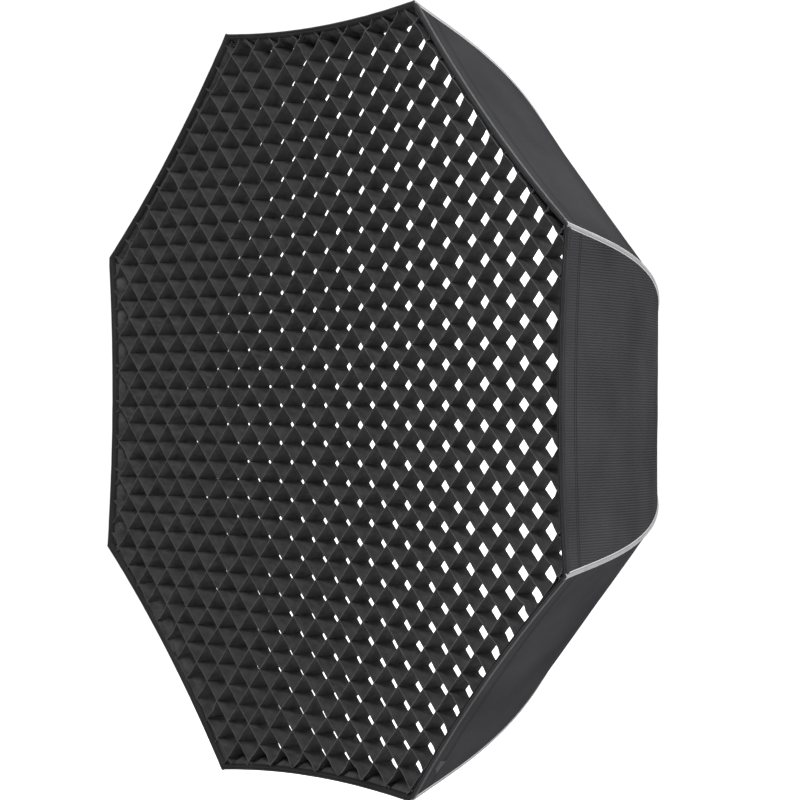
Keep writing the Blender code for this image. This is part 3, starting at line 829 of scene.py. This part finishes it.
def place_in_box(x, z):
    """Which rod a point of the front cloths belongs to, and whether it is in the outer ring."""
    rod = math.floor((math.atan2(z, x) % math.tau) / STEP) % SIDES
    turn = rod_turn(rod)
    return rod, x * math.cos(turn) + z * math.sin(turn) > SPLIT


def fold_front(obj):
    """Gives a flat front cloth its own copy of its mesh."""
    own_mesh(obj)


class OCTABOX_OT_grid(bpy.types.Operator):
    """Weaves the cloth grid from deep strips set at 45 degrees"""

    bl_idname = "octabox.grid"
    bl_label = "Grid"

    DEPTH_STEPS = 3
    STEPS = 4           # faces along each strip between two crossings
    GAP = 0.0085        # side cloth to the ends of the strips
    DRAW = 0.52         # share of the border's slope that the strips follow sideways
    SAG = 0.0010        # how far the strips' front edges hang below their back edges
    SLACK = 0.035       # strips nearer the border than this hang looser

    def node(self, m, n, pitch):
        """A crossing of two strips, a little out of line."""
        a, b = m * pitch, n * pitch
        a += 0.0022 * rough(m * 1.7, n * 1.3, 71, 1.0)
        b += 0.0022 * rough(m * 1.3, n * 1.9, 73, 1.0)
        return Vector(((a - b) * math.sqrt(0.5), (a + b) * math.sqrt(0.5))) + GRID_OFFSET

    def execute(self, context):
        sizes, shape = measured(context)
        pitch, depth = sizes.pitch, sizes.strip_depth
        front = sizes.front_y + sizes.grid_y
        levels = [front + depth * k / self.DEPTH_STEPS for k in range(self.DEPTH_STEPS + 1)]
        edges = {y: shape.seam(shape.run_at(y)) for y in levels}
        # The border slopes with the side cloth, so every strip draws in towards the back.
        draws = {y: 1.0 - self.DRAW * (1.0 - edges[y][0].x / edges[levels[0]][0].x)
                 for y in levels}

        def inside(x, z, y):
            angle = math.atan2(z, x)
            side = round(angle / STEP)
            c, s = math.cos(side * STEP), math.sin(side * STEP)
            out, along = x * c + z * s, z * c - x * s
            seam, share = edges[y]
            bow = shape.bow(share, along / (seam.x * SIN_HALF))
            return seam.x * COS_HALF - bow - self.GAP - out

        reach = int(sizes.front_radius / pitch) + 2
        runs = {}
        for family in (0, 1):
            for line in range(-reach, reach + 1):
                for k in range(-reach, reach):
                    pair = [(line, k), (line, k + 1)] if family else [(k, line), (k + 1, line)]
                    a, b = (self.node(m, n, pitch) for m, n in pair)
                    held = [inside(p.x, p.y, levels[0]) > 0 for p in (a, b)]
                    if not any(held):
                        continue
                    tracks = []
                    way = (b - a).normalized()
                    for y in levels:
                        pa, pb = (Vector((p.x * draws[y], p.y + self.SAG * (y - front) / depth))
                                  for p in (a, b))
                        tracks.append([self.meet(p, way, y, inside) for p in (pa, pb)])
                    middle = (tracks[0][0] + tracks[0][1]) / 2
                    key = place_in_box(middle.x, middle.y)
                    near = min(inside(p.x, p.y, front) for p in tracks[0])
                    slack = max(0.0, 1.0 - near / self.SLACK)
                    runs.setdefault(key, []).append((family, line, k, tracks, slack))
        for (rod, outer), segments in sorted(runs.items()):
            bm = bmesh.new()
            laid = ([], [])
            for family, line, k, tracks, slack in segments:
                def place(i, j):
                    t = i / self.STEPS
                    pa, pb = tracks[j]
                    point = pa.lerp(pb, t)
                    run = pb - pa
                    way = run.normalized() if run.length > 1e-6 else Vector((1.0, 0.0))
                    bend = math.sin(math.pi * t)
                    lean = rough(line * 1.3, k * 1.7, 81 + family, 1.0)
                    deep = j / self.DEPTH_STEPS
                    off = 0.0016 * lean * bend * (0.3 + 0.7 * deep)
                    off += 0.0014 * rough(line * 1.9, k + t, 83 + family, 1.6) * (1.0 - deep)
                    sag = 0.0008 * bend * (0.5 + rough(line, k, 85 + family, 1.0))
                    loose = slack * bend
                    off += 0.0050 * loose * rough(line * 2.3 + 3.0 * t, k * 1.9 + deep, 87, 0.8)
                    sag += 0.0036 * loose * (0.7 + rough(line * 1.1, k + 2.0 * t, 89, 0.5))
                    point = point + off * Vector((-way.y, way.x))
                    return Vector((point.x, levels[j] + sag * (1.0 - deep), point.y))

                laid[family].extend(
                    lay_grid(bm, self.STEPS, self.DEPTH_STEPS, place,
                             lambda i, j: ((k + i / self.STEPS) * pitch,
                                           line * 0.3 + depth * j / self.DEPTH_STEPS)))
            # A strip is one run of cloth, and the strips it crosses are slotted over it.
            for strips in laid:
                bmesh.ops.remove_doubles(bm, verts=strips, dist=2e-4)
            name = f"grid_outer_{rod + 1}" if outer else f"grid_inner_{rod + 1}"
            body = f"rod_arm_{rod + 1}" if outer else "root"
            made = piece(name, bm, ["grid_nylon", "grid_nylon_painted_edge_highlight"], body, ["grid"])
            # The rim faces take the edge material with its painted highlight.
            wall(made, 0.0013, 0.0, rim=1)
            made.modifiers["thickness"].use_even_offset = False
            fold_front(made)
        return {"FINISHED"}

    def meet(self, point, way, y, inside):
        """The point, or where its strip crosses the border if it lies outside."""
        spare = inside(point.x, point.y, y)
        if spare >= 0:
            return point
        side = round(math.atan2(point.y, point.x) / STEP)
        out = Vector((math.cos(side * STEP), math.sin(side * STEP)))
        if abs(way.dot(out)) < 0.3:
            return point + spare * out     # a strip beside the border leans in with it
        inwards = -way if point.dot(way) > 0 else way
        low, high = 0.0, 0.12
        for _ in range(20):
            middle = (low + high) / 2
            tried = point + middle * inwards
            if inside(tried.x, tried.y, y) > 0:
                high = middle
            else:
                low = middle
        return point + high * inwards


class OCTABOX_OT_grid_border(bpy.types.Operator):
    """Makes the grid's border band, pulled into scallops by the ends of the strips"""

    bl_idname = "octabox.grid_border"
    bl_label = "Grid border"

    SETBACK = 0.0025    # front edge to the band's front
    DEEP = 0.0445       # how deep the band is

    def execute(self, context):
        sizes, shape = measured(context)
        front = sizes.front_y + self.SETBACK
        half, levels = 96, 7
        root = math.sqrt(2.0)
        for rod in range(SIDES):
            def place(i, j):
                side, across = round_corner(rod, i / half - 1.0)
                part = j / levels
                y = front + self.DEEP * part
                seam, bent = shape.seam(shape.run_at(y))
                out, wide = seam.x * COS_HALF, seam.x * SIN_HALF
                spot = across * wide
                # Strips meet the upright and level sides at 45 degrees and the others squarely.
                plan = turned(Vector((out, 0.0, spot)), side * STEP)
                x, z = plan.x - GRID_OFFSET.x, plan.z - GRID_OFFSET.y
                ends = ((x + z) / (sizes.pitch * root), (z - x) / (sizes.pitch * root))
                if side % 2:
                    ends = ends[side % 4 == 1:][:1]
                near = min(abs(e - round(e)) for e in ends)
                pull = math.exp(-(near / 0.11) ** 2)
                crumple = rough(spot, part * 0.02, side + 91, 0.016)
                slope = min(1.0, part / 0.36)
                gap = 0.0024 + 0.0080 * slope * slope * (3.0 - 2.0 * slope)
                gap += 0.0040 * pull * slope + 0.0014 * crumple * (0.5 + part)
                relief = cloth_relief(side, shape.run_at(y), spot)
                gap = max(0.0018, gap) + max(0.0, relief)
                if j == 0:
                    gap = max(gap, 0.0030)
                wave = 0.0030 * (1.0 - pull) * (0.6 + 0.5 * rough(spot, 0.0, side + 95, 0.05))
                y += wave * (part - 0.25)
                bow = shape.bow(bent, across)
                point = Vector((out - bow - gap, y, spot * (out - gap) / out))
                return turned(point, side * STEP)

            bm = bmesh.new()
            lay_grid(bm, 2 * half, levels, place,
                     lambda i, j: (FRONT_SIDE * i / (2 * half), 5.0 + self.DEEP * j / levels))
            face_away(bm, Vector((0.0, front, 0.0)))
            bmesh.ops.reverse_faces(bm, faces=bm.faces[:])
            made = piece(f"grid_border_{rod + 1}", bm, ["grid_nylon", "grid_nylon_painted_edge_highlight"],
                         f"rod_arm_{rod + 1}", ["grid"])
            # The rim faces take the edge material with its painted highlight.
            wall(made, 0.0010, 0.0, rim=1)
            gather(made, sizes)
        return {"FINISHED"}


# ---------------------------------------------------------------- white cloths


WHITE_CLOTHS = {"diffuser": (["white_diffuser_nylon"], "front_diffuser"),
                "baffle": (["white_baffle_nylon"], "inner_baffle")}


def wedge(shape, name, rod, outer, y, split, gap, relief):
    """One wedge of a flat white cloth, between a rod's two neighbouring sides."""
    seam, share = shape.seam(shape.run_at(y))
    out = seam.x * COS_HALF - gap
    columns, rows = 24, 14

    def border(a):
        """The outer edge at a share a, from -1 to 1, of the wedge's angle."""
        across = 1.0 - abs(a)
        local = Vector((out - shape.bow(share, across), 0.0,
                        math.copysign(across * out * TAN_HALF, -a if a else 1.0)))
        return turned(local, HALF if a > 0 else -HALF)

    def place(i, j):
        a = 2.0 * i / columns - 1.0
        inner = Vector((split, 0.0, split * TAN_HALF * a))
        point = inner.lerp(border(a), j / rows) if outer else inner * (j / rows)
        spot = turned(point, rod_turn(rod))
        spot.y = y + relief(spot.x, spot.z)
        return spot

    bm = bmesh.new()
    lay_grid(bm, columns, rows, place, lambda i, j: (place(i, j).x, place(i, j).z))
    bmesh.ops.remove_doubles(bm, verts=bm.verts[:], dist=1e-6)
    face_away(bm, Vector((0.0, 1.0, 0.0)))
    # The flat cut: a corner of the octagon less its two bowed edges, and less the inner part.
    area = split * split * TAN_HALF
    if outer:
        area = (out * out - 4 / 3 * shape.bow(share, 0.0) * out - split * split) * TAN_HALF
    body = f"rod_arm_{rod + 1}" if outer else "root"
    finishes, node = WHITE_CLOTHS[name]
    made = piece(f"{name}_{'outer' if outer else 'inner'}_{rod + 1}", bm, finishes, body,
                 [node])
    wall(made, 0.0006, -1.0)
    return made


def stretch(shape, name, y, split, gap, relief):
    """A flat white cloth in wedges, an inner and an outer one to a rod; the outer ones ride on the
    rod.
    """
    for rod in range(SIDES):
        for outer in (True, False):
            made = wedge(shape, name, rod, outer, y, split, gap, relief)
            fold_front(made)


class OCTABOX_OT_diffuser(bpy.types.Operator):
    """Stretches the white front diffuser behind the grid"""

    bl_idname = "octabox.diffuser"
    bl_label = "Front diffuser"

    def execute(self, context):
        sizes, shape = measured(context)
        y = sizes.front_y + sizes.diffuser_y

        def relief(x, z):
            return 0.0012 * rough(x, z, 101, 0.30) + 0.0004 * rough(x, z, 103, 0.06)

        stretch(shape, "diffuser", y, SPLIT, 0.0062, relief)
        return {"FINISHED"}


class OCTABOX_OT_baffle(bpy.types.Operator):
    """Hangs the inner baffle inside the box"""

    bl_idname = "octabox.baffle"
    bl_label = "Inner baffle"

    def execute(self, context):
        sizes, shape = measured(context)
        y = sizes.front_y + sizes.baffle_y

        def relief(x, z):
            return 0.0035 * rough(x, z, 111, 0.28) + 0.0008 * rough(x, z, 113, 0.07)

        stretch(shape, "baffle", y, BAFFLE_SPLIT, sizes.baffle_gap, relief)
        return {"FINISHED"}


# ---------------------------------------------------------------- rear band, rods, hardware


class OCTABOX_OT_rear_band(bpy.types.Operator):
    """Gathers the cloth band between the side panels and the adapter plate"""

    bl_idname = "octabox.rear_band"
    bl_label = "Rear band"

    PLATE_RADIUS = 0.2712
    PLATE_FRONT, PLATE_BACK = -0.0258, -0.0212
    BEND = 0.8          # share of the band in front of the plate

    def execute(self, context):
        sizes, shape = measured(context)
        start, _ = shape.seam(shape.seam_length)
        shoulder = Vector((self.PLATE_RADIUS + 0.0026, self.PLATE_FRONT - 0.0008))
        back = Vector((self.PLATE_RADIUS + 0.0022, self.PLATE_BACK))
        per_side, rows = 40, 12

        def profile(t):
            if t < self.BEND:
                return start.lerp(shoulder, t / self.BEND)
            return shoulder.lerp(back, (t - self.BEND) / (1.0 - self.BEND))

        def place(i, j):
            side, step = divmod(i, per_side)
            across = 2.0 * step / per_side - 1.0
            t = j / rows
            point = profile(t)
            out, wide = point.x * COS_HALF, point.x * SIN_HALF
            ripple = math.sin(math.pi * min(1.0, t / self.BEND))
            fold = rough(side * 4.0 + across * wide, t * 0.01, 121, 0.011)
            out -= 0.0022 * ripple * (0.5 + fold)
            return turned(Vector((out, point.y, wide * across)), side * STEP)

        bm = bmesh.new()
        total = SIDES * per_side
        lay_grid(bm, total, rows, place, lambda i, j: (1.63 * i / total, 0.055 + 0.056 * j / rows))
        bmesh.ops.remove_doubles(bm, verts=bm.verts[:], dist=1e-6)
        face_away(bm, Vector((0.0, -0.5, 0.0)))
        band = piece("gathered_rear_band", bm, ["woven_black_nylon", "silver_coated_lining"],
                     "root", ["rear_band"])
        wall(band, 0.0010, -1.0, inner=1)
        return {"FINISHED"}


class OCTABOX_OT_rods(bpy.types.Operator):
    """Makes the bent rods with their sockets, hinge pins and tip caps"""

    bl_idname = "octabox.rods"
    bl_label = "Rods"

    TIP = 0.035         # share of the curve that the tip cap takes up
    FREE = 0.95         # share of the rod's rings in front of its socket
    HELD = 0.048        # length of rod inside its socket

    def execute(self, context):
        sizes, shape = measured(context)
        around, along = 20, 60
        for rod in range(SIDES):
            number = rod + 1
            body = f"rod_arm_{number}"
            inner = sizes.socket_length - self.HELD

            def place(i, j):
                t = j / along
                if t > self.FREE:
                    point = shape.mouth.lerp(shape.hinge + inner * shape.way,
                                             (t - self.FREE) / (1.0 - self.FREE))
                    heading = -shape.way
                else:
                    point, heading = shape.rod(self.TIP + (1.0 - self.TIP) * t / self.FREE)
                turn = math.tau * i / around
                normal = Vector((heading.y, -heading.x))
                out = point + sizes.rod_radius * math.cos(turn) * normal
                return turned(Vector((out.x, out.y, sizes.rod_radius * math.sin(turn))),
                              rod_turn(rod))

            bm = bmesh.new()
            lay_grid(bm, around, along, place)
            close_ends(bm)
            piece(f"bent_rod_{number}", bm, ["blackened_steel"], body,
                  [f"rod_{number}"])
            softened(f"rod_socket_{number}", 0.0009, ["black_anodised_aluminium"], body)
            softened(f"rod_tip_{number}", 0.0014, ["glass_filled_nylon"], body)
            softened(f"hinge_pin_{number}", 0.0005, ["drawn_steel"], "root")
        return {"FINISHED"}


class OCTABOX_OT_adapter(bpy.types.Operator):
    """Finishes the adapter plate and adds its screws"""

    bl_idname = "octabox.adapter"
    bl_label = "Adapter"

    SCREW_CIRCLE, PLATE_BACK = 0.247, -0.022

    def execute(self, context):
        softened("adapter_frame", 0.0008, ["black_anodised_aluminium"], "root")
        bm = bmesh.new()
        for rod in range(SIDES):
            place = turned(Vector((self.SCREW_CIRCLE, self.PLATE_BACK, 0.0)), rod_turn(rod))
            face_back = Matrix.Translation(place) @ Matrix.Rotation(-math.pi / 2, 4, "X")
            made = bmesh.ops.create_cone(bm, cap_ends=True, segments=24, radius1=0.0042,
                                         radius2=0.0034, depth=0.0022,
                                         matrix=face_back @ Matrix.Translation((0, 0, 0.0011)))
            top = max((f for v in made["verts"] for f in v.link_faces),
                      key=lambda f: f.calc_center_median().y)
            bmesh.ops.inset_region(bm, faces=[top], thickness=0.0014)
            for face in bmesh.ops.extrude_discrete_faces(bm, faces=[top])["faces"]:
                bmesh.ops.translate(bm, verts=face.verts[:], vec=(0.0, -0.0012, 0.0))
        bmesh.ops.remove_doubles(bm, verts=bm.verts[:], dist=1e-6)
        bmesh.ops.recalc_face_normals(bm, faces=bm.faces[:])
        piece("plate_screws", bm, ["drawn_steel"], "root")
        return {"FINISHED"}


class OCTABOX_OT_lamp_lock(bpy.types.Operator):
    """Finishes the spring plunger that locks the adapter to a lamp"""

    bl_idname = "octabox.lamp_lock"
    bl_label = "Lamp lock"

    def execute(self, context):
        softened("lock_housing", 0.0014, ["glass_filled_nylon"], "root")
        softened("lock_pin", 0.0006, ["drawn_steel"], "lock_plunger")
        low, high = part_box("lock_knob")
        middle = (low + high) / 2
        radius = (high.x - low.x) / 2
        bm = bmesh.new()
        around, rows = 96, (0.0, 0.06, 0.14, 0.22, 0.78, 0.86, 0.94, 1.0)
        widths = (0.80, 0.93, 0.98, 1.0, 1.0, 0.98, 0.93, 0.80)

        def place(i, j):
            turn = math.tau * i / around
            knurl = 0.94 if 2 < j < 5 and i % 4 > 1 else 1.0
            reach = radius * widths[j] * knurl
            return Vector((middle.x + reach * math.cos(turn), middle.y + reach * math.sin(turn),
                           low.z + (high.z - low.z) * rows[j]))

        lay_grid(bm, around, len(rows) - 1, place)
        close_ends(bm)
        piece("knurled_knob", bm, ["glass_filled_nylon"], "lock_plunger",
              ["lock_knob"])
        return {"FINISHED"}


# ---------------------------------------------------------------- stage


class OCTABOX_OT_stage(bpy.types.Operator):
    """Sets the pale floor, the soft studio light and the camera"""

    bl_idname = "octabox.stage"
    bl_label = "Stage"

    CAMERA_ANGLES = 52.10, -0.41, 0.27      # degrees round from the front, up, and rolled
    CAMERA_PLACE = 7.02, 0.209, 0.004       # away, to the right and up, in front radii
    LENS, SENSOR = 131.3325, 36.0           # focal length and sensor width in mm
    SKY = 1.08
    FLOOR_DROP = 0.30                       # the floor lies this far under the box
    # Name, place, size in metres and power in watts.
    LIGHTS = (("key", (3.3, 0.9, 2.6), 1.6, 300.0), ("front", (1.8, -3.8, 3.6), 1.6, 520.0),
              ("rear", (-1.8, 3.6, 2.6), 2.4, 60.0))

    def execute(self, context):
        scene = context.scene
        scene.view_settings.view_transform = "Standard"
        world = bpy.data.worlds.new("studio")
        world.use_nodes = True
        sky = world.node_tree.nodes["Background"]
        sky.inputs["Color"].default_value = (1.0, 1.0, 1.0, 1.0)
        sky.inputs["Strength"].default_value = self.SKY
        scene.world = world
        bm = bmesh.new()
        bmesh.ops.create_grid(bm, x_segments=8, y_segments=8, size=30.0,
                              matrix=Matrix.Translation((0.0, 0.0,
                                                         FRONT_LOW.z - self.FLOOR_DROP)))
        data = bpy.data.meshes.new("floor")
        bm.to_mesh(data)
        bm.free()
        data.materials.append(finish("painted_floor"))
        floor = bpy.data.objects.new("floor", data)
        scene.collection.objects.link(floor)
        for name, spot, size, power in self.LIGHTS:
            data = bpy.data.lights.new(name, "AREA")
            data.size = size
            data.energy = power
            lamp = bpy.data.objects.new(name, data)
            scene.collection.objects.link(lamp)
            lamp.location = spot
            lamp.rotation_euler = (INSIDE - Vector(spot)).to_track_quat("-Z", "Y").to_euler()
        sizes = scene.octabox_sizes
        turn, lift, roll = (math.radians(v) for v in self.CAMERA_ANGLES)
        back = Vector((math.sin(turn) * math.cos(lift), -math.cos(turn) * math.cos(lift),
                       math.sin(lift)))
        right = Vector((math.cos(turn), math.sin(turn), 0.0))
        up = back.cross(right)
        unit = sizes.front_radius
        away, aside, above = (unit * v for v in self.CAMERA_PLACE)
        place = Vector((0.0, sizes.front_y, 0.0)) + away * back + aside * right + above * up
        leaned = math.cos(roll) * right + math.sin(roll) * up
        data = bpy.data.cameras.new("camera")
        data.sensor_width = self.SENSOR
        data.lens = self.LENS
        data.clip_end = 200.0
        eye = bpy.data.objects.new("camera", data)
        scene.collection.objects.link(eye)
        axes = Matrix((leaned, back.cross(leaned), back)).transposed()
        eye.matrix_world = Matrix.Translation(place) @ axes.to_4x4()
        scene.camera = eye
        return {"FINISHED"}


class OCTABOX_PT_panel(bpy.types.Panel):
    """Lists the octabox's pieces and sizes"""

    bl_idname = "OCTABOX_PT_panel"
    bl_label = "Octabox"
    bl_space_type = "VIEW_3D"
    bl_region_type = "UI"
    bl_category = "Octabox"

    def draw(self, context):
        for maker in MAKERS:
            self.layout.operator(maker.bl_idname)
        for group in (context.scene.octabox_sizes, context.scene.octabox_colours):
            for name in group.__annotations__:
                self.layout.prop(group, name)


MAKERS = (OCTABOX_OT_stage, OCTABOX_OT_adapter, OCTABOX_OT_lamp_lock, OCTABOX_OT_rods,
          OCTABOX_OT_edge_tapes, OCTABOX_OT_front_binding, OCTABOX_OT_side_cloth,
          OCTABOX_OT_rear_band, OCTABOX_OT_grid_border, OCTABOX_OT_grid, OCTABOX_OT_diffuser,
          OCTABOX_OT_baffle)
CLASSES = (OctaboxSizes, OctaboxColours, *MAKERS, OCTABOX_PT_panel)


def register():
    for item in CLASSES:
        bpy.utils.register_class(item)
    bpy.types.Scene.octabox_sizes = bpy.props.PointerProperty(type=OctaboxSizes)
    bpy.types.Scene.octabox_colours = bpy.props.PointerProperty(type=OctaboxColours)


def unregister():
    del bpy.types.Scene.octabox_colours
    del bpy.types.Scene.octabox_sizes
    for item in reversed(CLASSES):
        bpy.utils.unregister_class(item)


def main():
    register()
    for maker in MAKERS:
        group, name = maker.bl_idname.split(".")
        getattr(getattr(bpy.ops, group), name)()


if __name__ == "__main__":
    main()
